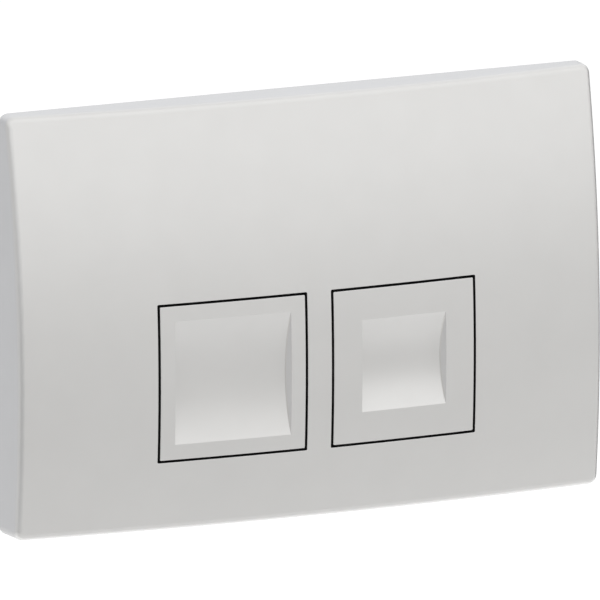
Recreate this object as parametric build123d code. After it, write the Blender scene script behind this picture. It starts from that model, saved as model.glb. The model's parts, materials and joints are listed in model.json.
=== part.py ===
from build123d import *
import math
import os

# Dual-flush button plate for a concealed cistern, in millimetres.
# +Z is up, +X is to the right and -Y is the front. The wall is the plane y = 0,
# and the origin is the middle of the cover's rear outline on that plane.

# Cover plate
PLATE_WIDTH = 246.0
PLATE_HEIGHT = 164.0
PLATE_DEPTH = 25.9  # from the wall to the crown of the front
CROWN_DROP = 23.85  # the crown and both button centres lie this far below the middle
FACE_RADIUS_PLAN = 1009.0  # bow of the front, seen from above
FACE_RADIUS_SIDE = 495.0  # bow of the front, seen from the side
SIDE_DRAFT = 1.5  # degrees
CORNER_RADIUS = 4.0
INNER_CORNER_RADIUS = 2.5
EDGE_RADIUS = 2.7
COVER_WALL = 2.5
RIB_WALL = 1.6
RIB_HEIGHT = 3.0
CROSS_RIB_Z = 46.0
FUSE_DEPTH = 0.8  # how far a rib or boss runs into the wall that it stands on

# Buttons
BUTTON_SIZE = 59.8
BUTTON_PITCH = 71.8  # between the two button centres
BUTTON_GAP = 1.0  # the dark line all round each button
BUTTON_DEPTH = 12.4  # from the crown back to the rear edge of the skirt
BUTTON_WALL = 2.2
SKIRT_WALL = 2.0
BUTTON_CORNER = 0.5
EDGE_BREAK = 0.2  # rounding along the edges of each gap
FULL_DISH_SIZE = 48.0
HALF_DISH_SIZE = 36.0
DISH_DEPTH = 5.3
DISH_DRAFT = 2.0  # degrees
BOSS_DIAMETER = 9.0
BOSS_HEIGHT = 0.75  # how far the push boss stands behind the dish

# Hinge along the upper edge of each button
PIN_DIAMETER = 2.5
PIN_CHAMFER = 0.4
HINGE_INSET = 3.1  # below the button's upper edge
HINGE_SETBACK = 2.4  # behind the cover's inner face, at the outer cheek
CHEEK_WALL = 2.0
CHEEK_DROP = 7.0  # how far the cheeks reach below the hinge
CHEEK_REACH = 4.4  # how far the cheeks and the collar reach behind the hinge
COLLAR_WALL = 1.6
COLLAR_CLEARANCE = 0.4  # above the opening's upper edge, for the turning skirt
KNUCKLE_DIAMETER = 5.8
KNUCKLE_WIDTH = 8.0
RUNNING_CLEARANCE = 0.05  # radial, where one piece turns or slides in another
SEAT_CLEARANCE = 0.02  # radial, where a pin, screw or bush is pressed home

# Stop lip along the lower edge of each button, and its pads
LIP_THICKNESS = 2.2
LIP_REACH = 3.6  # below the opening's lower edge
LIP_OVERHANG = 3.0  # past the button's sides
PAD_WIDTH = 8.0
PAD_SPACING = 36.0
PAD_THICKNESS = 1.0
STOP_CLEARANCE = 0.15

# Return springs
SPRING_THICKNESS = 0.5
SPRING_WIDTH = 7.0
SPRING_LEVER = 12.0  # the spring bears this far below the hinge
SPRING_BEND_RADIUS = 2.0
SPRING_TAIL = 4.0
SPRING_CONTACT_GAP = 0.3
SPRING_DROP = 3.2  # how far the spring's bearing point lies in front of its foot
POST_DIAMETER = 7.0
POST_RISE = 9.5  # above the opening's upper edge
POST_CLEARANCE = 2.5  # the post ends this far behind the button's skirt
FOOT_OVERHANG = 0.6  # of the spring's foot, past the post
SCREW_DIAMETER = 2.2
SCREW_LENGTH = 7.0
SCREW_HEAD_DIAMETER = 5.0
SCREW_HEAD_HEIGHT = 1.8
SCREW_SLOT = 0.8
PAD_RIB_HEIGHT = 3.0

# Mounting frame
FRAME_MARGIN_X = 8.0  # inside the cover's outline
FRAME_MARGIN_Z = 7.0
FRAME_PLATE = 3.0
FRAME_CORNER = 6.0
FRAME_RIB_TOP = 5.5  # of the stiffening ribs, from the wall
FRAME_RIB_WALL = 2.0
FRAME_RIB_INSET = 5.0
WINDOW_MARGIN_X = 17.0  # outside the openings for the buttons
WINDOW_MARGIN_BELOW = 8.0
WINDOW_MARGIN_ABOVE = 42.0
WINDOW_CORNER = 4.0
BAR_FRONT = 5.0  # of the bar that carries the rod guides, from the wall
BAR_SETBACK = 1.0
BAR_HEIGHT = 18.0
HOOK_SPACING = 120.0
HOOK_WIDTH = 12.0
HOOK_WALL = 1.8
HOOK_BARB = 2.4
HOOK_LEAD = 3.2
HOOK_CLEARANCE = 0.3
CATCH_WALL = 1.6
CATCH_REAR = 4.0  # from the wall

# Fixing bolts
BOLT_SPACING = 194.0
BOLT_DIAMETER = 8.0
BOLT_REACH = 46.0  # behind the wall
BOLT_NECK_DIAMETER = 8.8
BOLT_NECK_REACH = 1.0  # behind the wall
BOLT_FLANGE_DIAMETER = 17.0
BOLT_FLANGE = 2.0
BOLT_HEX = 13.0
BOLT_HEX_HEIGHT = 5.0
BOLT_SLOT_WIDTH = 1.8
BOLT_SLOT_DEPTH = 2.5
BOLT_CHAMFER = 1.0
SLOT_CLEARANCE = 0.3
SLOT_LENGTH = 24.0

# Push rods, their heads and their guides
ROD_DIAMETER = 7.0
ROD_LEVER = 39.0  # below the hinge
ROD_REACH = 42.0  # behind the wall
ROD_CHAMFER = 0.8
STUD_DIAMETER = 5.0
STUD_LENGTH = 2.4
HEAD_DIAMETER = 13.0
HEAD_THICKNESS = 4.0
HEAD_DOME_RADIUS = 10.0
HEAD_CONTACT_GAP = 0.3
GUIDE_BARREL_DIAMETER = 11.0
GUIDE_FLANGE_DIAMETER = 15.0
GUIDE_FLANGE = 1.5
GUIDE_REACH = 8.0  # behind the wall
GUIDE_BEAD = 0.5
GUIDE_BEAD_LENGTH = 1.6

# Worked out from the sizes above
CROWN_Y = -PLATE_DEPTH
CROWN_Z = -CROWN_DROP
PLAN_AXIS_Y = CROWN_Y + FACE_RADIUS_PLAN
PLAN_AXIS = Axis((0, PLAN_AXIS_Y, 0), (0, 0, 1))
OPENING_SIZE = BUTTON_SIZE + 2 * BUTTON_GAP
OPENING_TOP_Z = CROWN_Z + OPENING_SIZE / 2
OPENING_BOTTOM_Z = CROWN_Z - OPENING_SIZE / 2
BUTTON_BOTTOM_Z = CROWN_Z - BUTTON_SIZE / 2
BUTTON_REAR_Y = CROWN_Y + BUTTON_DEPTH
INNER_CHEEK_X = (BUTTON_PITCH - OPENING_SIZE) / 2 - CHEEK_WALL
OUTER_CHEEK_X = (BUTTON_PITCH + OPENING_SIZE) / 2 + CHEEK_WALL
BUTTONS = ("full", "half")
DISH_SIZES = {"full": FULL_DISH_SIZE, "half": HALF_DISH_SIZE}


def side_y(z, inset=0.0):
    """Depth of the front's side profile at height z, set back by inset along its normal."""
    radius = FACE_RADIUS_SIDE - inset
    return CROWN_Y + FACE_RADIUS_SIDE - math.sqrt(radius**2 - (z - CROWN_Z) ** 2)


def face_y(x, z, inset=0.0):
    """Depth of the doubly bowed front at x and z, set back by inset along its normal."""
    return PLAN_AXIS_Y - math.sqrt((PLAN_AXIS_Y - side_y(z, inset)) ** 2 - x**2)


HINGE_Z = CROWN_Z + BUTTON_SIZE / 2 - HINGE_INSET
HINGE_Y = face_y(OUTER_CHEEK_X, HINGE_Z, COVER_WALL) + HINGE_SETBACK
CHEEK_REAR_Y = HINGE_Y + CHEEK_REACH
POST_Z = OPENING_TOP_Z + POST_RISE
FOOT_REACH = POST_DIAMETER / 2 + FOOT_OVERHANG
POST_REAR_Y = BUTTON_REAR_Y + POST_CLEARANCE
SPRING_FOOT_Y = POST_REAR_Y + SPRING_THICKNESS / 2
SPRING_TIP_Y = SPRING_FOOT_Y - SPRING_DROP
SPRING_TIP_Z = HINGE_Z - SPRING_LEVER
ROD_Z = HINGE_Z - ROD_LEVER
DISH_REAR_Y = face_y(BUTTON_PITCH / 2, CROWN_Z) + DISH_DEPTH + BUTTON_WALL
BOSS_FACE_Y = DISH_REAR_Y + BOSS_HEIGHT
HEAD_FRONT_Y = BOSS_FACE_Y + HEAD_CONTACT_GAP
HEAD_REAR_Y = HEAD_FRONT_Y + HEAD_THICKNESS
FRAME_WIDTH = PLATE_WIDTH - 2 * FRAME_MARGIN_X
FRAME_HEIGHT = PLATE_HEIGHT - 2 * FRAME_MARGIN_Z
WINDOW_WIDTH = BUTTON_PITCH + OPENING_SIZE + 2 * WINDOW_MARGIN_X
WINDOW_TOP_Z = OPENING_TOP_Z + WINDOW_MARGIN_ABOVE
WINDOW_BOTTOM_Z = OPENING_BOTTOM_Z - WINDOW_MARGIN_BELOW


def block(x_range, y_range, z_range):
    """A box between two values on each axis."""
    low = [min(pair) for pair in (x_range, y_range, z_range)]
    size = [abs(pair[1] - pair[0]) for pair in (x_range, y_range, z_range)]
    return Pos(*low) * Box(*size, align=(Align.MIN, Align.MIN, Align.MIN))


def bar_along_x(y, z, diameter, x_range):
    """A round bar along X."""
    plane = Plane((x_range[0], y, z), x_dir=(0, 1, 0), z_dir=(1, 0, 0))
    return extrude(plane * Circle(diameter / 2), amount=x_range[1] - x_range[0])


def bar_along_y(x, z, diameter, y_range):
    """A round bar along Y."""
    plane = Plane((x, y_range[0], z), x_dir=(1, 0, 0), z_dir=(0, 1, 0))
    return extrude(plane * Circle(diameter / 2), amount=y_range[1] - y_range[0])


def turned(x, z, lines):
    """A turned piece: lines is a closed profile of radius and depth, spun about a line along Y."""
    plane = Plane((x, 0, z), x_dir=(1, 0, 0), z_dir=(0, 0, 1))
    return revolve(plane * make_face(lines), Axis((x, 0, z), (0, 1, 0)))


def upright(sketch, y_range):
    """A sketch in X and Z drawn out between two depths."""
    plane = Plane((0, y_range[0], 0), x_dir=(1, 0, 0), z_dir=(0, -1, 0))
    return extrude(plane * sketch, amount=y_range[0] - y_range[1])


def drafted_block(width, height, corner):
    """The cover's outline on the wall, drawn forwards with draft."""
    outline = Plane.XZ * RectangleRounded(width, height, corner)
    return extrude(outline, amount=PLATE_DEPTH + COVER_WALL, taper=SIDE_DRAFT)


def spin_across(section, width):
    """A section at x = 0 swept across the plate about the upright axis of the plan bow."""
    half_angle = math.degrees(math.asin(width / 2 / FACE_RADIUS_PLAN))
    return revolve(section.rotate(PLAN_AXIS, -half_angle), PLAN_AXIS, 2 * half_angle)


def behind_face(inset):
    """Everything behind the doubly bowed front, set back by inset."""
    top_z = CROWN_Z + PLATE_HEIGHT
    bottom_z = CROWN_Z - PLATE_HEIGHT
    bow = ThreePointArc(
        (side_y(top_z, inset), top_z),
        (side_y(CROWN_Z, inset), CROWN_Z),
        (side_y(bottom_z, inset), bottom_z),
    )
    back = Polyline(bow @ 1, (PLATE_DEPTH, bottom_z), (PLATE_DEPTH, top_z), bow @ 0)
    section = Plane.YZ * make_face([bow, back])
    return spin_across(section, PLATE_WIDTH + 2 * PLATE_DEPTH)


FRONT_SOLID = behind_face(0)
INSIDE_COVER = behind_face(COVER_WALL)
COVER_RIB_FRONT = behind_face(COVER_WALL - FUSE_DEPTH)
INSIDE_RIBS = behind_face(COVER_WALL + RIB_HEIGHT)
INSIDE_BUTTON = behind_face(BUTTON_WALL)
BUTTON_RIB_FRONT = behind_face(BUTTON_WALL - FUSE_DEPTH)
PAD_BACK = behind_face(COVER_WALL + PAD_THICKNESS)
LIP_FRONT = behind_face(COVER_WALL + PAD_THICKNESS + STOP_CLEARANCE)
LIP_BACK = behind_face(COVER_WALL + PAD_THICKNESS + STOP_CLEARANCE + LIP_THICKNESS)


def side_of(name):
    """The sign of x on a button's side: the full flush is on the left."""
    return -1 if name == "full" else 1


def button_centre(name):
    return side_of(name) * BUTTON_PITCH / 2


def across(name, near, far):
    """A range of x that mirrors with the side that a button is on."""
    return sorted((side_of(name) * near, side_of(name) * far))


def button_square(name, size, corner):
    """A square outline centred on a button."""
    return Pos(button_centre(name), CROWN_Z) * RectangleRounded(size, size, corner)


def hinge_mounts(name):
    """The collar over an opening and the two cheeks that hold the hinge pin."""
    depth = (CROWN_Y, CHEEK_REAR_Y)
    collar_z = OPENING_TOP_Z + COLLAR_CLEARANCE
    height = (HINGE_Z - CHEEK_DROP, collar_z + COLLAR_WALL)
    inner = block(across(name, INNER_CHEEK_X, INNER_CHEEK_X + CHEEK_WALL), depth, height)
    outer = block(across(name, OUTER_CHEEK_X - CHEEK_WALL, OUTER_CHEEK_X), depth, height)
    collar = block(across(name, INNER_CHEEK_X, OUTER_CHEEK_X), depth, (collar_z, height[1]))
    bore = bar_along_x(HINGE_Y, HINGE_Z, PIN_DIAMETER + 2 * SEAT_CLEARANCE, pin_range(name))
    return (inner + outer + collar) & COVER_RIB_FRONT, bore


def pin_range(name):
    return across(name, INNER_CHEEK_X, OUTER_CHEEK_X)


def spring_post(name):
    """The boss that a return spring is screwed to, and its screw hole."""
    x = button_centre(name)
    post = bar_along_y(x, POST_Z, POST_DIAMETER, (CROWN_Y, POST_REAR_Y)) & COVER_RIB_FRONT
    hole_depth = SCREW_LENGTH + SCREW_DIAMETER / 2
    hole_diameter = SCREW_DIAMETER + 2 * SEAT_CLEARANCE
    hole = bar_along_y(x, POST_Z, hole_diameter, (POST_REAR_Y - hole_depth, POST_REAR_Y))
    return post, hole


def cover_ribs():
    """Stiffening ribs on the inner face: three upright and one across, above the buttons."""
    half_height = PLATE_HEIGHT / 2 - COVER_WALL + FUSE_DEPTH
    half_width = PLATE_WIDTH / 2 - COVER_WALL + FUSE_DEPTH
    depth = (CROWN_Y, 0)
    side_rib_x = OUTER_CHEEK_X + 2 * RIB_WALL
    ribs = block((-half_width, half_width), depth, (CROSS_RIB_Z, CROSS_RIB_Z + RIB_WALL))
    for x in (-side_rib_x, 0, side_rib_x):
        ribs += block((x - RIB_WALL / 2, x + RIB_WALL / 2), depth, (-half_height, half_height))
    inside = drafted_block(
        PLATE_WIDTH - 2 * (COVER_WALL - FUSE_DEPTH),
        PLATE_HEIGHT - 2 * (COVER_WALL - FUSE_DEPTH),
        INNER_CORNER_RADIUS,
    )
    return (ribs & COVER_RIB_FRONT & inside) - INSIDE_RIBS


def hook_places():
    """x and the sign of z of the four snap hooks."""
    return [(sx * HOOK_SPACING / 2, sz) for sx in (-1, 1) for sz in (-1, 1)]


def catch(x, up):
    """A ledge on the cover's upper or lower wall that a hook snaps in front of."""
    z_range = (
        up * (FRAME_HEIGHT / 2 + HOOK_CLEARANCE),
        up * (PLATE_HEIGHT / 2 - COVER_WALL + FUSE_DEPTH),
    )
    half = HOOK_WIDTH / 2 + HOOK_CLEARANCE
    return block((x - half, x + half), (-CATCH_REAR - CATCH_WALL, -CATCH_REAR), z_range)


def cover_plate():
    """The domed cover: a drafted shell, open at the back, with two openings for the buttons."""
    shell = drafted_block(PLATE_WIDTH, PLATE_HEIGHT, CORNER_RADIUS) & FRONT_SOLID
    shell = fillet(shell.faces().sort_by(Axis.Y)[0].edges(), EDGE_RADIUS)
    hollow = drafted_block(
        PLATE_WIDTH - 2 * COVER_WALL, PLATE_HEIGHT - 2 * COVER_WALL, INNER_CORNER_RADIUS
    )
    shell -= hollow & INSIDE_COVER
    for name in BUTTONS:
        opening = button_square(name, OPENING_SIZE, BUTTON_CORNER)
        shell -= upright(opening, (0, CROWN_Y - COVER_WALL))
    front = shell.faces().sort_by(Axis.Y)[0]
    shell = fillet([edge for wire in front.inner_wires() for edge in wire.edges()], EDGE_BREAK)
    shell += cover_ribs()
    for x, up in hook_places():
        shell += catch(x, up)
    for name in BUTTONS:
        mounts, bore = hinge_mounts(name)
        post, hole = spring_post(name)
        shell = shell + mounts + post - bore - hole
    return shell


def dish_section(name, grow):
    """The scoop's upright section: an arc from above to below, closed in front of the plate."""
    half = DISH_SIZES[name] / 2
    floor_y = CROWN_Y + DISH_DEPTH
    sag = floor_y - side_y(CROWN_Z + half)
    radius = (half**2 + sag**2) / (2 * sag)
    front_y = CROWN_Y - DISH_DEPTH
    reach = math.sqrt((radius + grow) ** 2 - (front_y - floor_y + radius) ** 2)
    arc = ThreePointArc(
        (front_y, CROWN_Z + reach), (floor_y + grow, CROWN_Z), (front_y, CROWN_Z - reach)
    )
    return Plane.YZ * make_face([arc, Line(arc @ 1, arc @ 0)])


def dish(name, grow):
    """The scoop in a button, swept along the front's plan bow between two drafted sides."""
    half = DISH_SIZES[name] / 2
    x = button_centre(name)
    face = face_y(x, CROWN_Z)
    lean = math.tan(math.radians(DISH_DRAFT))
    front_y = face - 2 * DISH_DEPTH
    rear_y = face + 2 * DISH_DEPTH
    front_half = half + grow + 2 * DISH_DEPTH * lean
    rear_half = half + grow - 2 * DISH_DEPTH * lean
    sides = Polyline(
        (x - front_half, front_y),
        (x + front_half, front_y),
        (x + rear_half, rear_y),
        (x - rear_half, rear_y),
        close=True,
    )
    wedge = extrude(Plane.XY.offset(CROWN_Z) * make_face(sides), amount=2 * half, both=True)
    return spin_across(dish_section(name, grow), PLATE_WIDTH) & wedge


def stop_lip(name):
    """The lip under a button that rests behind the cover's wall and closes the gap there."""
    x = button_centre(name)
    half = BUTTON_SIZE / 2 + LIP_OVERHANG
    lip = block(
        (x - half, x + half),
        (CROWN_Y, 0),
        (OPENING_BOTTOM_Z - LIP_REACH, BUTTON_BOTTOM_Z + SKIRT_WALL / 2),
    )
    return (lip & LIP_FRONT) - LIP_BACK


def button_ribs(name):
    """The rib, hinge knuckle, push boss and spring pad on a button's back."""
    x = button_centre(name)
    half_inside = BUTTON_SIZE / 2 - SKIRT_WALL + FUSE_DEPTH
    rib = block(
        (x - RIB_WALL / 2, x + RIB_WALL / 2),
        (CROWN_Y, BOSS_FACE_Y),
        (CROWN_Z - half_inside, CROWN_Z + half_inside),
    )
    boss = bar_along_y(x, ROD_Z, BOSS_DIAMETER, (CROWN_Y, BOSS_FACE_Y))
    pad = block(
        (x - SPRING_WIDTH / 2, x + SPRING_WIDTH / 2),
        (CROWN_Y, SPRING_TIP_Y - SPRING_THICKNESS / 2 - SPRING_CONTACT_GAP),
        (SPRING_TIP_Z - PAD_RIB_HEIGHT / 2, SPRING_TIP_Z + PAD_RIB_HEIGHT / 2),
    )
    knuckle_x = (x - KNUCKLE_WIDTH / 2, x + KNUCKLE_WIDTH / 2)
    knuckle = bar_along_x(HINGE_Y, HINGE_Z, KNUCKLE_DIAMETER, knuckle_x)
    knuckle_web = block(knuckle_x, (CROWN_Y, HINGE_Y), (HINGE_Z, HINGE_Z + HINGE_INSET - SKIRT_WALL))
    return (rib + boss + pad + knuckle + knuckle_web) & BUTTON_RIB_FRONT


def flush_button(name):
    """A square button: a shell that carries on the cover's front, with a scooped dish."""
    depth = (BUTTON_REAR_Y, CROWN_Y - BUTTON_WALL)
    body = upright(button_square(name, BUTTON_SIZE, BUTTON_CORNER), depth) & FRONT_SOLID
    body = fillet(body.faces().sort_by(Axis.Y)[0].edges(), EDGE_BREAK)
    inside = button_square(name, BUTTON_SIZE - 2 * SKIRT_WALL, BUTTON_CORNER)
    body -= upright(inside, depth) & INSIDE_BUTTON
    body += dish(name, BUTTON_WALL) & BUTTON_RIB_FRONT
    body += button_ribs(name) - dish(name, FUSE_DEPTH)
    body -= dish(name, 0)
    body += stop_lip(name)
    bore_diameter = PIN_DIAMETER + 2 * RUNNING_CLEARANCE
    return body - bar_along_x(HINGE_Y, HINGE_Z, bore_diameter, pin_range(name))


def hinge_pin(name):
    pin = bar_along_x(HINGE_Y, HINGE_Z, PIN_DIAMETER, pin_range(name))
    return chamfer(pin.edges().filter_by(GeomType.CIRCLE), PIN_CHAMFER)


def stop_pads(name):
    """Rubber pads on the cover's inner face, in front of a button's stop lip."""
    pads = []
    for offset in (-PAD_SPACING / 2, PAD_SPACING / 2):
        x = button_centre(name) + offset
        pad = block(
            (x - PAD_WIDTH / 2, x + PAD_WIDTH / 2),
            (CROWN_Y, 0),
            (OPENING_BOTTOM_Z - LIP_REACH, OPENING_BOTTOM_Z - BUTTON_GAP),
        )
        pads.append((pad & INSIDE_COVER) - PAD_BACK)
    return pads


def return_spring(name):
    """A bent strip: a flat foot under the screw, a sloping leaf and a turned-up tail."""
    foot_bottom_z = POST_Z - FOOT_REACH
    path = FilletPolyline(
        (SPRING_FOOT_Y, POST_Z + FOOT_REACH),
        (SPRING_FOOT_Y, foot_bottom_z),
        (SPRING_TIP_Y, SPRING_TIP_Z),
        (SPRING_TIP_Y + SPRING_TAIL / 2, SPRING_TIP_Z - SPRING_TAIL),
        radius=SPRING_BEND_RADIUS,
    )
    x = button_centre(name)
    plane = Plane((x, 0, 0), x_dir=(0, 1, 0), z_dir=(1, 0, 0))
    strip = extrude(plane * trace(path, SPRING_THICKNESS), amount=SPRING_WIDTH / 2, both=True)
    hole_diameter = SCREW_DIAMETER + 2 * RUNNING_CLEARANCE
    foot_y = (SPRING_FOOT_Y - SPRING_THICKNESS, SPRING_FOOT_Y + SPRING_THICKNESS)
    return strip - bar_along_y(x, POST_Z, hole_diameter, foot_y)


def spring_screw(name):
    """A small slotted screw through a spring's foot."""
    x = button_centre(name)
    seat_y = POST_REAR_Y + SPRING_THICKNESS
    shank = bar_along_y(x, POST_Z, SCREW_DIAMETER, (POST_REAR_Y - SCREW_LENGTH, seat_y))
    head = bar_along_y(x, POST_Z, SCREW_HEAD_DIAMETER, (seat_y, seat_y + SCREW_HEAD_HEIGHT))
    slot = block(
        (x - SCREW_HEAD_DIAMETER, x + SCREW_HEAD_DIAMETER),
        (seat_y + SCREW_HEAD_HEIGHT / 2, seat_y + 2 * SCREW_HEAD_HEIGHT),
        (POST_Z - SCREW_SLOT / 2, POST_Z + SCREW_SLOT / 2),
    )
    return shank + head - slot


def ring_rib(width, bottom_z, top_z, corner):
    """An upright rib round a rectangle on the mounting frame, inside the given outline."""
    middle = Pos(0, (bottom_z + top_z) / 2)
    height = top_z - bottom_z
    outer = middle * RectangleRounded(width, height, corner)
    inner = middle * RectangleRounded(
        width - 2 * FRAME_RIB_WALL, height - 2 * FRAME_RIB_WALL, corner - FRAME_RIB_WALL
    )
    return upright(outer - inner, (0, -FRAME_RIB_TOP))


def hook(x, up):
    """A snap hook on the mounting frame's upper or lower edge."""
    edge = FRAME_HEIGHT / 2
    stop_y = -CATCH_REAR - CATCH_WALL - HOOK_CLEARANCE
    tip_y = stop_y - HOOK_LEAD
    profile = Polyline(
        (0, up * (edge - HOOK_WALL)),
        (tip_y, up * (edge - HOOK_WALL)),
        (tip_y, up * edge),
        (stop_y, up * (edge + HOOK_BARB)),
        (stop_y, up * edge),
        (0, up * edge),
        close=True,
    )
    plane = Plane((x, 0, 0), x_dir=(0, 1, 0), z_dir=(1, 0, 0))
    return extrude(plane * make_face(profile), amount=HOOK_WIDTH / 2, both=True)


def mounting_frame():
    """The frame bolted to the cistern opening, with a bar for the rod guides and four hooks."""
    plate = RectangleRounded(FRAME_WIDTH, FRAME_HEIGHT, FRAME_CORNER)
    window_height = WINDOW_TOP_Z - WINDOW_BOTTOM_Z
    window_middle = Pos(0, (WINDOW_TOP_Z + WINDOW_BOTTOM_Z) / 2)
    window = window_middle * RectangleRounded(WINDOW_WIDTH, window_height, WINDOW_CORNER)
    frame = upright(plate, (0, -FRAME_PLATE))
    outer_half = FRAME_HEIGHT / 2 - FRAME_RIB_INSET
    frame += ring_rib(FRAME_WIDTH - 2 * FRAME_RIB_INSET, -outer_half, outer_half, FRAME_CORNER)
    frame += ring_rib(
        WINDOW_WIDTH + 2 * FRAME_RIB_WALL,
        WINDOW_BOTTOM_Z - FRAME_RIB_WALL,
        WINDOW_TOP_Z + FRAME_RIB_WALL,
        WINDOW_CORNER + FRAME_RIB_WALL,
    )
    frame -= upright(window, (PLATE_DEPTH, -PLATE_DEPTH))
    half_bar = WINDOW_WIDTH / 2 + FRAME_RIB_WALL
    frame += block(
        (-half_bar, half_bar),
        (-BAR_FRONT, -BAR_SETBACK),
        (ROD_Z - BAR_HEIGHT / 2, ROD_Z + BAR_HEIGHT / 2),
    )
    for x, up in hook_places():
        frame += hook(x, up)
    slot = SlotOverall(SLOT_LENGTH, BOLT_NECK_DIAMETER + 2 * SLOT_CLEARANCE, rotation=90)
    for side in (-1, 1):
        frame -= upright(Pos(side * BOLT_SPACING / 2, 0) * slot, (PLATE_DEPTH, -PLATE_DEPTH))
    guide_hole = GUIDE_BARREL_DIAMETER + 2 * SEAT_CLEARANCE
    for name in BUTTONS:
        frame -= bar_along_y(button_centre(name), ROD_Z, guide_hole, (-PLATE_DEPTH, PLATE_DEPTH))
    return frame


def fixing_bolt(side):
    """A moulded distance bolt: a slotted hexagon on a flange, a neck and a long shank."""
    x = side * BOLT_SPACING / 2
    flange_y = -FRAME_PLATE - BOLT_FLANGE
    hexagon = Pos(x, 0) * RegularPolygon(BOLT_HEX / 2, 6, major_radius=False)
    bolt = bar_along_y(x, 0, BOLT_DIAMETER, (flange_y, BOLT_REACH))
    bolt = chamfer(bolt.edges().filter_by(GeomType.CIRCLE).sort_by(Axis.Y)[-1], BOLT_CHAMFER)
    bolt += bar_along_y(x, 0, BOLT_NECK_DIAMETER, (flange_y, BOLT_NECK_REACH))
    bolt += bar_along_y(x, 0, BOLT_FLANGE_DIAMETER, (flange_y, -FRAME_PLATE))
    bolt += upright(hexagon, (flange_y, flange_y - BOLT_HEX_HEIGHT))
    slot_y = flange_y - BOLT_HEX_HEIGHT
    return bolt - block(
        (x - BOLT_HEX, x + BOLT_HEX),
        (slot_y - BOLT_SLOT_DEPTH, slot_y + BOLT_SLOT_DEPTH),
        (-BOLT_SLOT_WIDTH / 2, BOLT_SLOT_WIDTH / 2),
    )


def push_rod(name):
    """A round rod through its guide, with a stud for its head."""
    x = button_centre(name)
    rod = bar_along_y(x, ROD_Z, ROD_DIAMETER, (HEAD_REAR_Y, ROD_REACH))
    rod = chamfer(rod.edges().filter_by(GeomType.CIRCLE).sort_by(Axis.Y)[-1], ROD_CHAMFER)
    return rod + bar_along_y(x, ROD_Z, STUD_DIAMETER, (HEAD_REAR_Y - STUD_LENGTH, HEAD_REAR_Y))


def rod_head(name):
    """The domed head that a button presses on."""
    radius = HEAD_DIAMETER / 2
    rim_y = HEAD_FRONT_Y + HEAD_DOME_RADIUS - math.sqrt(HEAD_DOME_RADIUS**2 - radius**2)
    middle = radius / 2
    middle_y = HEAD_FRONT_Y + HEAD_DOME_RADIUS - math.sqrt(HEAD_DOME_RADIUS**2 - middle**2)
    socket = STUD_DIAMETER / 2 + SEAT_CLEARANCE
    socket_y = HEAD_REAR_Y - STUD_LENGTH
    dome = ThreePointArc((0, HEAD_FRONT_Y), (middle, middle_y), (radius, rim_y))
    rest = Polyline(
        (radius, rim_y),
        (radius, HEAD_REAR_Y),
        (socket, HEAD_REAR_Y),
        (socket, socket_y),
        (0, socket_y),
        (0, HEAD_FRONT_Y),
    )
    return turned(button_centre(name), ROD_Z, [dome, rest])


def rod_guide(name):
    """A flanged bush, snapped into the frame's bar by a tapered bead behind it."""
    bore = ROD_DIAMETER / 2 + RUNNING_CLEARANCE
    barrel = GUIDE_BARREL_DIAMETER / 2
    flange = GUIDE_FLANGE_DIAMETER / 2
    bead_y = -BAR_SETBACK + SEAT_CLEARANCE
    profile = Polyline(
        (bore, -BAR_FRONT - GUIDE_FLANGE),
        (flange, -BAR_FRONT - GUIDE_FLANGE),
        (flange, -BAR_FRONT),
        (barrel, -BAR_FRONT),
        (barrel, bead_y),
        (barrel + GUIDE_BEAD, bead_y),
        (barrel, bead_y + GUIDE_BEAD_LENGTH),
        (barrel, GUIDE_REACH),
        (bore, GUIDE_REACH),
        close=True,
    )
    return turned(button_centre(name), ROD_Z, profile)


def save(node, solids):
    """Write one node's solids to its own file."""
    export_step(Compound(children=list(solids)), os.path.join("parts", node + ".step"))


os.makedirs("parts", exist_ok=True)
save("cover_plate", cover_plate().solids())
save("mounting_frame", mounting_frame().solids())
save("left_fixing_bolt", fixing_bolt(-1).solids())
save("right_fixing_bolt", fixing_bolt(1).solids())
for name in BUTTONS:
    save(name + "_flush_button", flush_button(name).solids())
    save(name + "_hinge_pin", hinge_pin(name).solids())
    save(name + "_return_spring", return_spring(name).solids())
    save(name + "_spring_screw", spring_screw(name).solids())
    save(name + "_stop_pads", [solid for pad in stop_pads(name) for solid in pad.solids()])
    save(name + "_push_rod", push_rod(name).solids())
    save(name + "_rod_head", rod_head(name).solids())
    save(name + "_rod_guide", rod_guide(name).solids())
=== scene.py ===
import json
import math

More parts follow.
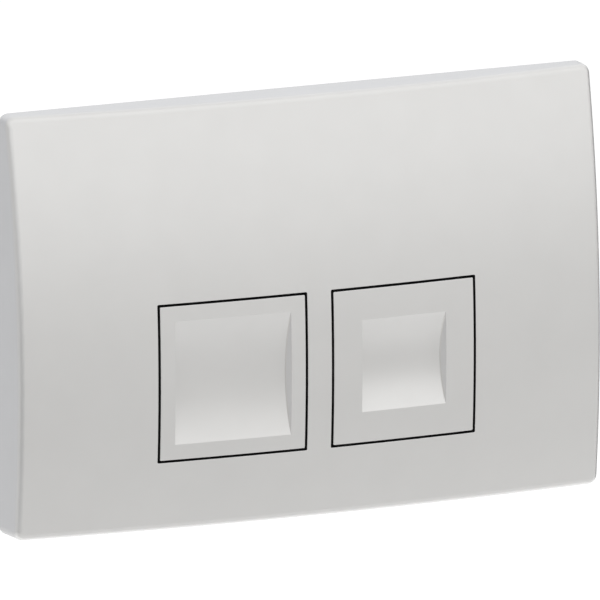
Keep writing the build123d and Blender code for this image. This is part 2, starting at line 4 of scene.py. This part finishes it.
import bmesh
import bpy
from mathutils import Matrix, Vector


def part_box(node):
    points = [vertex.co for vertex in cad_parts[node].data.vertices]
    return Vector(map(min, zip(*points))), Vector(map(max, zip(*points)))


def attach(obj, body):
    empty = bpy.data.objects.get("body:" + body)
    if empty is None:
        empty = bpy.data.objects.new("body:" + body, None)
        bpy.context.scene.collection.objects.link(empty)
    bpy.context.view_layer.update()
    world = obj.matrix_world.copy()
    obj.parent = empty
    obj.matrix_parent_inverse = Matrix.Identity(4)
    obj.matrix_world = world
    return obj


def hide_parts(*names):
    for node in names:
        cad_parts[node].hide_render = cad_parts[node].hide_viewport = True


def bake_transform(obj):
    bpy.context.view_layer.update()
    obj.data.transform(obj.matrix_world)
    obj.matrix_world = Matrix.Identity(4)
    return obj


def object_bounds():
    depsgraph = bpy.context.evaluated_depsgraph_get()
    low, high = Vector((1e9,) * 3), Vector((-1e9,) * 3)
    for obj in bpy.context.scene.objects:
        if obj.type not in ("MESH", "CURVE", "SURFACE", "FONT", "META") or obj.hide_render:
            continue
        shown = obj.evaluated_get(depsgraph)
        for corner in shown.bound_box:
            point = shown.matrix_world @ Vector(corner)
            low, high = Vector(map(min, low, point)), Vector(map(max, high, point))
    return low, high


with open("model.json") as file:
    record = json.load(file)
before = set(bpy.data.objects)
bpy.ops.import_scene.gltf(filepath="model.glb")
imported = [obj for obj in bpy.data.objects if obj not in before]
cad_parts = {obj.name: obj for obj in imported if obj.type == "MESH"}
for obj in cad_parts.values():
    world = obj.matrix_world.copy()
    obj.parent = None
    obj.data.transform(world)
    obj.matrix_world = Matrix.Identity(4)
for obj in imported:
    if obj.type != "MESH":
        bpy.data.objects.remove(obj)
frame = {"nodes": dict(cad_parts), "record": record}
cad_low, cad_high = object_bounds()
nodes = frame["nodes"]
slots = {row["node"]: row["material_slot"] for row in frame["record"]["subparts"]}
scene = bpy.context.scene


# Directions from the plate
def direction(azimuth, elevation):
    """Unit vector from the plate, by degrees to the right of its front and above it."""
    around = math.radians(azimuth)
    above = math.radians(elevation)
    level = math.cos(above)
    return Vector((math.sin(around) * level, -math.cos(around) * level, math.sin(above)))


LEFT = Vector((-1.0, 0.0, 0.0))
RIGHT = Vector((1.0, 0.0, 0.0))
FRONT = Vector((0.0, -1.0, 0.0))
ABOVE = Vector((0.0, 0.0, 1.0))
BELOW = Vector((0.0, 0.0, -1.0))
BEHIND = direction(azimuth=155.0, elevation=45.0)  # a little to the right, and half way up

# Camera, from the photograph: its angle, its scale and where the plate's origin falls
VIEW_AZIMUTH = -24.76  # degrees, to the left of the front
VIEW_ELEVATION = 12.12  # degrees, above the middle
PIXELS_PER_METRE = 2614.1
IMAGE_SIZE = 600.0  # pixels
ORIGIN_PIXEL = (291.80, 296.62)  # from the left and from the top
LENS = 1700.0  # millimetres
SENSOR = 36.0  # millimetres
VIEW_END = 100.0  # metres from the camera, well past the plate

# Plated faces of the cover and the buttons, in metres
# the last two paint shade: darker plating on the dish sides and near-black walls in the gaps
FINISHES_AND_SHADES = ("satin_front", "satin_recess_painted_shade", "bare_core_gap_shade")
FACING = 0.5  # a face with a normal beyond this faces that way
OUTER_SKIN = 0.0018  # faces this close to the cover's outline are outside it
LIP_OVERHANG = 0.003  # of the stop lip, past each side of its button

# Dishes of the buttons, in metres
DISH_HALF = {"full": 0.024, "half": 0.018}
DISH_SIDE_BAND = 0.0006  # the faces of a side lie this close to its plane
DISH_SIDE_FACING = 0.98  # and face straight across at least this much
DISH_CORNER = 0.0007  # radius where the floor of a dish meets its sides
DISH_CORNER_SHARE = 0.5  # the most of a side's height that the radius takes
DISH_CORNER_STEPS = 5

# Surfaces: noise in repeats per metre, grain in repeats per metre and depth in metres
EVEN = (1.0, 1.0, 1.0)
DRAWN_ALONG_X = (0.1, 1.0, 1.0)
ROLLED_ALONG_Z = (1.0, 1.0, 0.1)
NOISE_LOW = 0.3  # nearly all of a noise lies between these two values
NOISE_HIGH = 0.7
MOTTLE_SCALE = 60.0
MOTTLE_DETAIL = 3.0
GLOSS_SCALE = 140.0
GLOSS_DETAIL = 4.0
GRAIN_DETAIL = 2.0
PLATING_GRAIN = (2500.0, 0.000002)
MOULDED_GRAIN = (1500.0, 0.00002)
METAL_GRAIN = (3000.0, 0.000006)
RUBBER_GRAIN = (1200.0, 0.00004)
PLAIN_SPECULAR = 0.5
SATIN_METAL = 0.75
SATIN_ROUGHNESS = (0.40, 0.42)

# Thread of the fixing bolts, in metres
THREAD_PITCH = 0.0025
THREAD_DEPTH = 0.0007
THREAD_START = 0.001  # behind the wall, where the bolt's neck ends
THREAD_RINGS = 12  # in each turn
THREAD_SIDES = 48
GROOVE_MIDDLE = 0.5  # the groove is a wave about this share of its depth
GROOVE_SWING = 0.8  # so high that it is cut off flat at the crest and the root
TIP_CHAMFER = 0.001

# Other pieces made here, in metres
TINY = 1e-6
FLAT_ANGLE = math.radians(0.5)  # faces closer to one plane than this are joined
SHARP_ANGLE = math.radians(40.0)  # edges that turn more than this stay sharp
SPRING_SLICE = 0.001
MOULDED_EDGES = {"mounting_frame": 0.0004, "full_rod_guide": 0.0002, "half_rod_guide": 0.0002}
EDGE_SEGMENTS = 2
ROUND_PROFILE = 0.5

# Room and floor, in metres
FLOOR_Z = -0.30
FLOOR_SIZE = 8.0
FLOOR_ALBEDO = 0.40
FLOOR_GLOW = 0.75  # of the floor as it is seen
ROOM_SEEN = 1.0  # strength of the room as it is seen, which is white
AMBIENT = 0.70  # strength of the room as a light
WHITE = (1.0, 1.0, 1.0)
WARM = (1.0, 0.987, 0.962)
COOL = (0.898, 0.910, 0.946)
WARM_END = 0.0  # along Y; the tint goes from warm to cool between these two
COOL_START = 0.6

# Lamps: place, width and height in metres, radiance, and the side of the plate that they are on.
# A lamp's radiance is its brightness as seen, where the room is 1.
LAMPS = {
    "key": (Vector((0.50, -0.30, 0.315)), (2.2, 0.6), 0.61, FRONT),
    "top": (Vector((0.10, -0.10, 0.75)), (3.0, 1.0), 0.33, ABOVE),
    "back": (BEHIND * 1.5, (3.0, 1.8), 0.385, BEHIND),
    "rim": (Vector((0.25, 0.10, -0.28)), (1.3, 0.30), 0.75, BELOW),
    "low": (Vector((0.35, -0.25, -0.28)), (1.5, 0.30), 0.27, BELOW),
}

# Flags: azimuth in degrees, width in metres and grey
FLAGS = {"flag_left": (-50.0, 0.46, 0.80), "flag_right": (115.0, 0.68, 0.45)}
FLAG_DISTANCE = 0.6
FLAG_ELEVATION = -6.0  # degrees
FLAG_HEIGHT = 0.50


# Shader helpers
def new_material(name):
    """A new material with its nodes and its Principled shader."""
    material = bpy.data.materials.new(name)
    material.use_nodes = True
    tree = material.node_tree
    return material, tree, tree.nodes["Principled BSDF"]


def add_node(tree, kind, **settings):
    """A new node of one kind, with its settings."""
    node = tree.nodes.new(kind)
    for key, value in settings.items():
        setattr(node, key, value)
    return node


def set_inputs(node, values):
    """Set a node's own sockets, by name."""
    for socket, value in values.items():
        node.inputs[socket].default_value = value


def noise(tree, scale, detail, stretch=EVEN):
    """Noise in the piece's own coordinates; scale is in repeats per metre."""
    place = add_node(tree, "ShaderNodeTexCoord")
    mapping = add_node(tree, "ShaderNodeMapping")
    set_inputs(mapping, {"Scale": stretch})
    texture = add_node(tree, "ShaderNodeTexNoise")
    set_inputs(texture, {"Scale": scale, "Detail": detail})
    tree.links.new(place.outputs["Object"], mapping.inputs["Vector"])
    tree.links.new(mapping.outputs["Vector"], texture.inputs["Vector"])
    return texture.outputs["Fac"]


def spread(tree, value, low, high):
    """A noise value spread between two numbers."""
    node = add_node(tree, "ShaderNodeMapRange")
    set_inputs(node, {"From Min": NOISE_LOW, "From Max": NOISE_HIGH, "To Min": low, "To Max": high})
    tree.links.new(value, node.inputs["Value"])
    return node.outputs["Result"]


def tint(tree, value, first, last, start, end):
    """A colour that goes from the first to the last as a value goes from start to end."""
    ramp = add_node(tree, "ShaderNodeValToRGB")
    for stop, position, colour in zip(ramp.color_ramp.elements, (start, end), (first, last)):
        stop.position = position
        stop.color = (*colour, 1.0)
    tree.links.new(value, ramp.inputs["Fac"])
    return ramp.outputs["Color"]


# Materials
def finish_surface(
    name, dark, light, roughness, metallic, grain, stretch=EVEN, specular=PLAIN_SPECULAR
):
    """A surface with a slight mottle of colour, uneven gloss and a fine grain.

    roughness is its range, and grain is the repeats per metre and the depth in metres.
    """
    material, tree, shader = new_material(name)
    set_inputs(shader, {"Metallic": metallic, "Specular IOR Level": specular})
    mottle = noise(tree, MOTTLE_SCALE, MOTTLE_DETAIL)
    colour = tint(tree, mottle, dark, light, NOISE_LOW, NOISE_HIGH)
    tree.links.new(colour, shader.inputs["Base Color"])
    gloss = spread(tree, noise(tree, GLOSS_SCALE, GLOSS_DETAIL, stretch), *roughness)
    tree.links.new(gloss, shader.inputs["Roughness"])
    repeats, depth = grain
    bump = add_node(tree, "ShaderNodeBump")
    set_inputs(bump, {"Strength": 1.0, "Distance": depth})
    tree.links.new(noise(tree, repeats, GRAIN_DETAIL, stretch), bump.inputs["Height"])
    tree.links.new(bump.outputs["Normal"], shader.inputs["Normal"])
    return material


def satin_plating(name, dark, light):
    """Satin plating, which shades mostly as metal and a little as clear lacquer."""
    return finish_surface(
        name, dark, light, roughness=SATIN_ROUGHNESS, metallic=SATIN_METAL, grain=PLATING_GRAIN
    )


def moulding(name, dark, light, roughness, specular=PLAIN_SPECULAR):
    """Moulded plastic."""
    return finish_surface(
        name, dark, light, roughness, metallic=0.0, grain=MOULDED_GRAIN, specular=specular
    )


def worked_metal(name, dark, light, roughness, stretch):
    """Bare metal, with its grain drawn out one way."""
    return finish_surface(
        name, dark, light, roughness, metallic=1.0, grain=METAL_GRAIN, stretch=stretch
    )


def satin_front():
    """The plating on the cover and the buttons."""
    return satin_plating("satin_front", dark=(0.530, 0.530, 0.529), light=(0.541, 0.541, 0.540))


def satin_recess_painted_shade():
    """Plating painted darker and warmer on the steep sides of the dishes: painted shade of the
    recess and a painted warm reflection of the dish.
    """
    return satin_plating("satin_recess_painted_shade", dark=(0.486, 0.479, 0.466), light=(0.496, 0.489, 0.476))


def bare_core_gap_shade():
    """Dark bare moulding where the plating stops, in the gaps and on the inside, made near-black
    and dull so that it also paints the shade in the gaps.
    """
    return moulding(
        "bare_core_gap_shade",
        dark=(0.026, 0.026, 0.027),
        light=(0.034, 0.034, 0.035),
        roughness=(0.85, 0.95),
        specular=0.0,
    )


def white_moulding():
    """The mounting frame's plastic."""
    return moulding(
        "white_moulding", dark=(0.80, 0.80, 0.78), light=(0.84, 0.84, 0.82), roughness=(0.42, 0.52)
    )


def grey_moulding():
    """The plastic of the fixing bolts and the rod guides."""
    return moulding(
        "grey_moulding", dark=(0.30, 0.31, 0.32), light=(0.34, 0.35, 0.36), roughness=(0.40, 0.52)
    )


def blue_moulding():
    """The plastic of the push rods and their heads."""
    return moulding(
        "blue_moulding", dark=(0.05, 0.17, 0.40), light=(0.06, 0.20, 0.45), roughness=(0.35, 0.48)
    )


def steel():
    """Drawn steel of the hinge pins and the screws."""
    return worked_metal(
        "steel",
        dark=(0.50, 0.50, 0.49),
        light=(0.58, 0.58, 0.57),
        roughness=(0.22, 0.36),
        stretch=DRAWN_ALONG_X,
    )


def spring_steel():
    """Rolled strip of the leaf springs."""
    return worked_metal(
        "spring_steel",
        dark=(0.46, 0.45, 0.42),
        light=(0.54, 0.53, 0.50),
        roughness=(0.28, 0.40),
        stretch=ROLLED_ALONG_Z,
    )


def rubber():
    """The stop pads' rubber."""
    return finish_surface(
        "rubber",
        dark=(0.018, 0.018, 0.018),
        light=(0.03, 0.03, 0.03),
        roughness=(0.65, 0.8),
        metallic=0.0,
        grain=RUBBER_GRAIN,
    )


materials = {
    "satin_front": satin_front(),
    "satin_recess_painted_shade": satin_recess_painted_shade(),
    "bare_core_gap_shade": bare_core_gap_shade(),
    "white_moulding": white_moulding(),
    "grey_moulding": grey_moulding(),
    "blue_moulding": blue_moulding(),
    "steel": steel(),
    "spring_steel": spring_steel(),
    "rubber": rubber(),
}


def dress(piece, slot):
    """Give a piece the material of a slot; satin pieces mirror the room and not each other."""
    piece.data.materials.clear()
    piece.data.materials.append(materials[slot])
    piece.visible_glossy = False


for name, slot in slots.items():
    dress(nodes[name], slot)


# The plating stops at the edges of the gaps, so the faces behind are bare, in a near-black that
# paints the shade in the gaps
def cover_plating_and_gap_shade(face):
    """Bare behind the front and inside the outline; the bare near-black paints the shade in the
    gaps.
    """
    at_edge = (
        abs(face.center.x) > cad_high.x - OUTER_SKIN
        or abs(face.center.z) > cad_high.z - OUTER_SKIN
    )
    plated = face.normal.y < -FACING or (at_edge and face.normal.y < FACING)
    return "satin_front" if plated else "bare_core_gap_shade"


def button_plating_and_shade(face, middle_x, lower_z, dish_half):
    """Plated on the front, with painted shade on a side of the dish, and bare elsewhere and on the
    lip, near-black to paint the shade in the gaps.
    """
    across = face.center.x - middle_x
    faces_in = face.normal.x * across < -FACING * abs(across)
    # a side of the dish gets the darker plating that paints its shade
    if faces_in and abs(abs(across) - dish_half) < DISH_SIDE_BAND:
        return "satin_recess_painted_shade"
    on_front = face.normal.y < -FACING and face.center.z > lower_z
    return "satin_front" if on_front else "bare_core_gap_shade"


def finish_faces(piece, choose):
    """Give every face of a piece the material that is chosen for it."""
    piece.data.materials.clear()
    for finish in FINISHES_AND_SHADES:
        piece.data.materials.append(materials[finish])
    for face in piece.data.polygons:
        face.material_index = FINISHES_AND_SHADES.index(choose(face))


finish_faces(nodes["cover_plate"], cover_plating_and_gap_shade)


# Mesh helpers
def loose_copy(node, name):
    """A copy of a CAD node as a new piece, and its mesh to work on, with its surfaces apart."""
    piece = bpy.data.objects.new(name, nodes[node].data.copy())
    scene.collection.objects.link(piece)
    mesh = bmesh.new()
    mesh.from_mesh(piece.data)
    return piece, mesh


def sewn_copy(node, name):
    """A copy of a CAD node as a new piece, and its mesh to work on, with its surfaces joined."""
    piece, mesh = loose_copy(node, name)
    bmesh.ops.remove_doubles(mesh, verts=mesh.verts, dist=TINY)
    return piece, mesh


def write_smooth(piece, mesh):
    """Write a mesh to its piece, with smooth faces."""
    for face in mesh.faces:
        face.smooth = True
    mesh.to_mesh(piece.data)
    mesh.free()


def write_sewn(piece, mesh):
    """Write a joined mesh to its piece, smooth but for its sharp edges."""
    bmesh.ops.recalc_face_normals(mesh, faces=mesh.faces)
    write_smooth(piece, mesh)
    piece.data.set_sharp_from_angle(angle=SHARP_ANGLE)


def weigh_normals(piece):
    """Shade each flank by its broad faces, so that slivers and narrow edges leave no mark."""
    weighted = piece.modifiers.new("weighted_normals", "WEIGHTED_NORMAL")
    weighted.keep_sharp = True


# Refined pieces
def dish_side(mesh, middle, dish_half, inward):
    """One side of a dish as a single face, joined to the floor of the dish."""
    faces = []
    floor_verts = {}
    for face in mesh.faces:
        place = face.calc_center_median() - middle
        in_plane = abs(place.x + inward.x * dish_half) < DISH_SIDE_BAND
        if in_plane and face.normal.dot(inward) > DISH_SIDE_FACING:
            faces.append(face)
        elif max(abs(place.x), abs(place.z)) < dish_half and face.normal.y < -FACING:
            floor_verts.update(dict.fromkeys(face.verts))
    side = bmesh.ops.dissolve_faces(mesh, faces=faces)["region"][0]
    bmesh.ops.remove_doubles(mesh, verts=[*side.verts, *floor_verts], dist=TINY)
    return side


def corner_arc(mesh, vert, along, radius, inward):
    """Points round the corner of a dish, from its floor to its side, at a point of their edge.

    The point itself moves to the start of the arc, on the floor.
    """
    corner = vert.co.copy()
    up = along.cross(inward).normalized()
    up *= math.copysign(radius, -up.y)
    across = inward * radius
    points = [vert]
    for step in range(1, DISH_CORNER_STEPS + 1):
        angle = math.pi / 2 * step / DISH_CORNER_STEPS
        place = corner + across * (1.0 - math.sin(angle)) + up * (1.0 - math.cos(angle))
        points.append(mesh.verts.new(place))
    vert.co = corner + across
    return points


def corner_arcs(mesh, row, inward):
    """An arc at each point along the corner of a dish, smaller where the side is low."""
    places = [vert.co.copy() for vert in row]
    rise = places[-1] - places[0]
    arcs = {vert: [vert] * (DISH_CORNER_STEPS + 1) for vert in (row[0], row[-1])}
    for index in range(1, len(row) - 1):
        share = (places[index].z - places[0].z) / rise.z
        height = places[index].y - places[0].y - share * rise.y
        radius = min(DISH_CORNER, DISH_CORNER_SHARE * height)
        along = places[index + 1] - places[index - 1]
        arcs[row[index]] = corner_arc(mesh, row[index], along, radius, inward)
    return arcs


def soften_corner(mesh, side, inward):
    """Round the corner between the floor of a dish and one of its sides."""
    corner_edges = [edge for edge in side.edges if not edge.is_boundary]
    corner_verts = dict.fromkeys(vert for edge in corner_edges for vert in edge.verts)
    row = sorted(corner_verts, key=lambda vert: vert.co.z)
    tips = (row[0], row[-1])
    for edge in corner_edges:
        edge.smooth = not any(vert in tips for vert in edge.verts)
    arcs = corner_arcs(mesh, row, inward)
    outline = [arcs[vert][-1] if vert in arcs else vert for vert in side.verts]
    bmesh.ops.delete(mesh, geom=[side], context="FACES_ONLY")
    mesh.faces.new(outline)
    for lower, upper in zip(row, row[1:]):
        for step in range(DISH_CORNER_STEPS):
            ring = arcs[lower][step : step + 2] + arcs[upper][step : step + 2][::-1]
            face = mesh.faces.new(list(dict.fromkeys(ring)))
            face.normal_update()
            if face.normal.dot(inward) < face.normal.y:
                face.normal_flip()


def dished_button(name):
    """A button with soft corners in its dish, plated on its front."""
    node = name + "_flush_button"
    low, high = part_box(node)
    size = high.x - low.x - 2 * LIP_OVERHANG
    lower_z = high.z - size
    middle = Vector(((low.x + high.x) / 2, 0.0, high.z - size / 2))
    dish_half = DISH_HALF[name]
    piece, mesh = loose_copy(node, name + "_dished_button")
    for inward in (RIGHT, LEFT):
        side = dish_side(mesh, middle, dish_half, inward)
        soften_corner(mesh, side, inward)
    write_smooth(piece, mesh)
    dress(piece, slots[node])
    # painted shade: darker plating on the sides of the dish and near-black walls in the gaps
    finish_faces(piece, lambda face: button_plating_and_shade(face, middle.x, lower_z, dish_half))
    weigh_normals(piece)
    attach(piece, name + "_button")
    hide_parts(node)


def thread_radius(crest, along, length, angle):
    """Radius of a thread at a distance along it and an angle round it; both its ends run out."""
    phase = 2.0 * math.pi * along / THREAD_PITCH - angle
    groove = min(1.0, max(0.0, GROOVE_MIDDLE - GROOVE_SWING * math.cos(phase)))
    fade = min(1.0, along / THREAD_PITCH, (length - along) / THREAD_PITCH)
    tip = crest - max(0.0, along - length + TIP_CHAMFER)
    return min(tip, crest - THREAD_DEPTH * groove * fade)


def thread_rings(mesh, middle_x, crest, length):
    """Rings of points along a thread, from the bolt's neck to its tip."""
    count = round(length / THREAD_PITCH * THREAD_RINGS)
    rings = []
    for ring in range(count + 1):
        along = length * ring / count
        verts = []
        for side in range(THREAD_SIDES):
            angle = 2.0 * math.pi * side / THREAD_SIDES
            radius = thread_radius(crest, along, length, angle)
            x = middle_x + radius * math.cos(angle)
            z = radius * math.sin(angle)
            verts.append(mesh.verts.new((x, THREAD_START + along, z)))
        rings.append(verts)
    return rings


def threaded_bolt(node):
    """A fixing bolt whose plain shank is cut away and made again with its coarse thread."""
    low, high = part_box(node)
    piece, mesh = sewn_copy(node, node.replace("fixing", "threaded"))
    shank = [face for face in mesh.faces if face.calc_center_median().y > THREAD_START + TINY]
    crest = max(abs(vert.co.z) for face in shank for vert in face.verts)
    bmesh.ops.delete(mesh, geom=shank, context="FACES")
    rings = thread_rings(mesh, (low.x + high.x) / 2, crest, high.y - THREAD_START)
    for near, far in zip(rings, rings[1:]):
        for side in range(THREAD_SIDES):
            after = (side + 1) % THREAD_SIDES
            mesh.faces.new((near[side], near[after], far[after], far[side]))
    mesh.faces.new(rings[-1])
    write_sewn(piece, mesh)
    dress(piece, slots[node])
    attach(piece, "plate")
    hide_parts(node)


def leaf_spring(name):
    """A return spring sliced along its leaf into narrow bands."""
    node = name + "_return_spring"
    low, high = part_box(node)
    piece, mesh = sewn_copy(node, name + "_leaf_spring")
    for step in range(1, int((high.z - low.z) / SPRING_SLICE)):
        bmesh.ops.bisect_plane(
            mesh,
            geom=[*mesh.verts, *mesh.edges, *mesh.faces],
            dist=TINY,
            plane_co=(0.0, 0.0, low.z + step * SPRING_SLICE),
            plane_no=ABOVE,
        )
    write_sewn(piece, mesh)
    dress(piece, slots[node])
    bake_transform(piece)
    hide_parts(node)


def soft_edged(node, width):
    """A moulding whose sharp edges are slightly rounded."""
    piece, mesh = sewn_copy(node, node + "_moulding")
    bmesh.ops.dissolve_limit(mesh, angle_limit=FLAT_ANGLE, verts=mesh.verts, edges=mesh.edges)
    sharp = [edge for edge in mesh.edges if edge.calc_face_angle(0.0) > SHARP_ANGLE]
    bmesh.ops.bevel(
        mesh,
        geom=sharp,
        offset=width,
        segments=EDGE_SEGMENTS,
        profile=ROUND_PROFILE,
        affect="EDGES",
        clamp_overlap=True,
    )
    write_sewn(piece, mesh)
    weigh_normals(piece)
    dress(piece, slots[node])
    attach(piece, "plate")
    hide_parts(node)


for name, width in MOULDED_EDGES.items():
    soft_edged(name, width)
for name in ("left_fixing_bolt", "right_fixing_bolt"):
    threaded_bolt(name)
for name in ("full", "half"):
    dished_button(name)
    leaf_spring(name)


# Studio: a white room with a pale floor, lamps in front, above, behind and below, and two flags
def any_ray(tree, *kinds):
    """1 for a ray of any of these kinds."""
    path = add_node(tree, "ShaderNodeLightPath")
    total = path.outputs[kinds[0]]
    for kind in kinds[1:]:
        either = add_node(tree, "ShaderNodeMath", operation="MAXIMUM")
        tree.links.new(total, either.inputs[0])
        tree.links.new(path.outputs[kind], either.inputs[1])
        total = either.outputs[0]
    return total


def seen_directly(tree):
    """1 for the rays that show the background."""
    return any_ray(tree, "Is Camera Ray", "Is Glossy Ray", "Is Transmission Ray")


def room_white(tree, coordinates):
    """White to the camera; to other rays a touch warm in front of the plate and cool behind it."""
    place = add_node(tree, "ShaderNodeTexCoord")
    axes = add_node(tree, "ShaderNodeSeparateXYZ")
    tree.links.new(place.outputs[coordinates], axes.inputs["Vector"])
    colour = add_node(tree, "ShaderNodeMix", data_type="RGBA")
    tree.links.new(any_ray(tree, "Is Camera Ray"), colour.inputs["Factor"])
    tinted = tint(tree, axes.outputs["Y"], WARM, COOL, WARM_END, COOL_START)
    tree.links.new(tinted, colour.inputs["A"])
    set_inputs(colour, {"B": (*WHITE, 1.0)})
    return colour.outputs["Result"]


def white_room():
    """The world: white where it is seen, and a softer light on the plate."""
    world = bpy.data.worlds.new("white_room")
    world.use_nodes = True
    tree = world.node_tree
    strength = add_node(tree, "ShaderNodeMapRange")
    set_inputs(strength, {"To Min": AMBIENT, "To Max": ROOM_SEEN})
    tree.links.new(seen_directly(tree), strength.inputs["Value"])
    background = tree.nodes["Background"]
    tree.links.new(room_white(tree, "Generated"), background.inputs["Color"])
    tree.links.new(strength.outputs["Result"], background.inputs["Strength"])
    scene.world = world


def matt(name, grey):
    """A dull grey material, for the floor and the flags."""
    material, tree, shader = new_material(name)
    colour = (grey, grey, grey, 1.0)
    set_inputs(shader, {"Base Color": colour, "Roughness": 1.0, "Specular IOR Level": 0.0})
    return material, tree, shader


def pale_floor():
    """A pale floor that is white where it is seen, and keeps the plate's shadow."""
    bpy.ops.mesh.primitive_plane_add(size=FLOOR_SIZE, location=(0.0, 0.0, FLOOR_Z))
    floor = bpy.context.object
    floor.name = "floor"
    material, tree, shader = matt("pale_floor", FLOOR_ALBEDO)
    tree.links.new(room_white(tree, "Object"), shader.inputs["Emission Color"])
    glow = add_node(tree, "ShaderNodeMapRange")
    set_inputs(glow, {"To Max": FLOOR_GLOW})
    tree.links.new(seen_directly(tree), glow.inputs["Value"])
    tree.links.new(glow.outputs["Result"], shader.inputs["Emission Strength"])
    floor.data.materials.append(material)


def soft_lamp(name, place, size, radiance, side):
    """A broad rectangular lamp on one side of the plate, which faces back from that side."""
    width, height = size
    data = bpy.data.lights.new(name, "AREA")
    data.shape = "RECTANGLE"
    data.size = width
    data.size_y = height
    data.energy = radiance * math.pi * width * height
    lamp = bpy.data.objects.new(name, data)
    lamp.location = place
    lamp.rotation_mode = "QUATERNION"
    lamp.rotation_quaternion = side.to_track_quat("Z", "Y")
    lamp.visible_camera = False
    scene.collection.objects.link(lamp)


def dark_flag(name, azimuth, width, grey):
    """A dull card beside the plate, out of the picture, that draws its edge against the white."""
    bpy.ops.mesh.primitive_plane_add(size=1.0)
    flag = bpy.context.object
    flag.name = name
    flag.scale = (width, FLAG_HEIGHT, 1.0)
    towards = direction(azimuth, FLAG_ELEVATION)
    flag.location = towards * FLAG_DISTANCE
    flag.rotation_mode = "QUATERNION"
    flag.rotation_quaternion = towards.to_track_quat("Z", "Y")
    material, _, _ = matt(name, grey)
    flag.data.materials.append(material)
    flag.visible_camera = False


def photograph_camera():
    """A long lens far away, aimed so that the plate's origin falls on its pixel."""
    data = bpy.data.cameras.new("camera")
    data.lens = LENS
    data.sensor_width = SENSOR
    data.clip_end = VIEW_END
    camera = bpy.data.objects.new("camera", data)
    back = direction(VIEW_AZIMUTH, VIEW_ELEVATION)
    turn = back.to_track_quat("Z", "Y")
    right = turn @ Vector((1.0, 0.0, 0.0))
    up = turn @ Vector((0.0, 1.0, 0.0))
    aim = right * (IMAGE_SIZE / 2 - ORIGIN_PIXEL[0]) / PIXELS_PER_METRE
    aim += up * (ORIGIN_PIXEL[1] - IMAGE_SIZE / 2) / PIXELS_PER_METRE
    distance = LENS / SENSOR * IMAGE_SIZE / PIXELS_PER_METRE
    camera.location = aim + back * distance
    camera.rotation_mode = "QUATERNION"
    camera.rotation_quaternion = turn
    scene.collection.objects.link(camera)
    scene.camera = camera


white_room()
pale_floor()
for name, (place, size, radiance, side) in LAMPS.items():
    soft_lamp(name, place, size, radiance, side)
for name, (azimuth, width, grey) in FLAGS.items():
    dark_flag(name, azimuth, width, grey)
photograph_camera()
scene.view_settings.view_transform = "Standard"
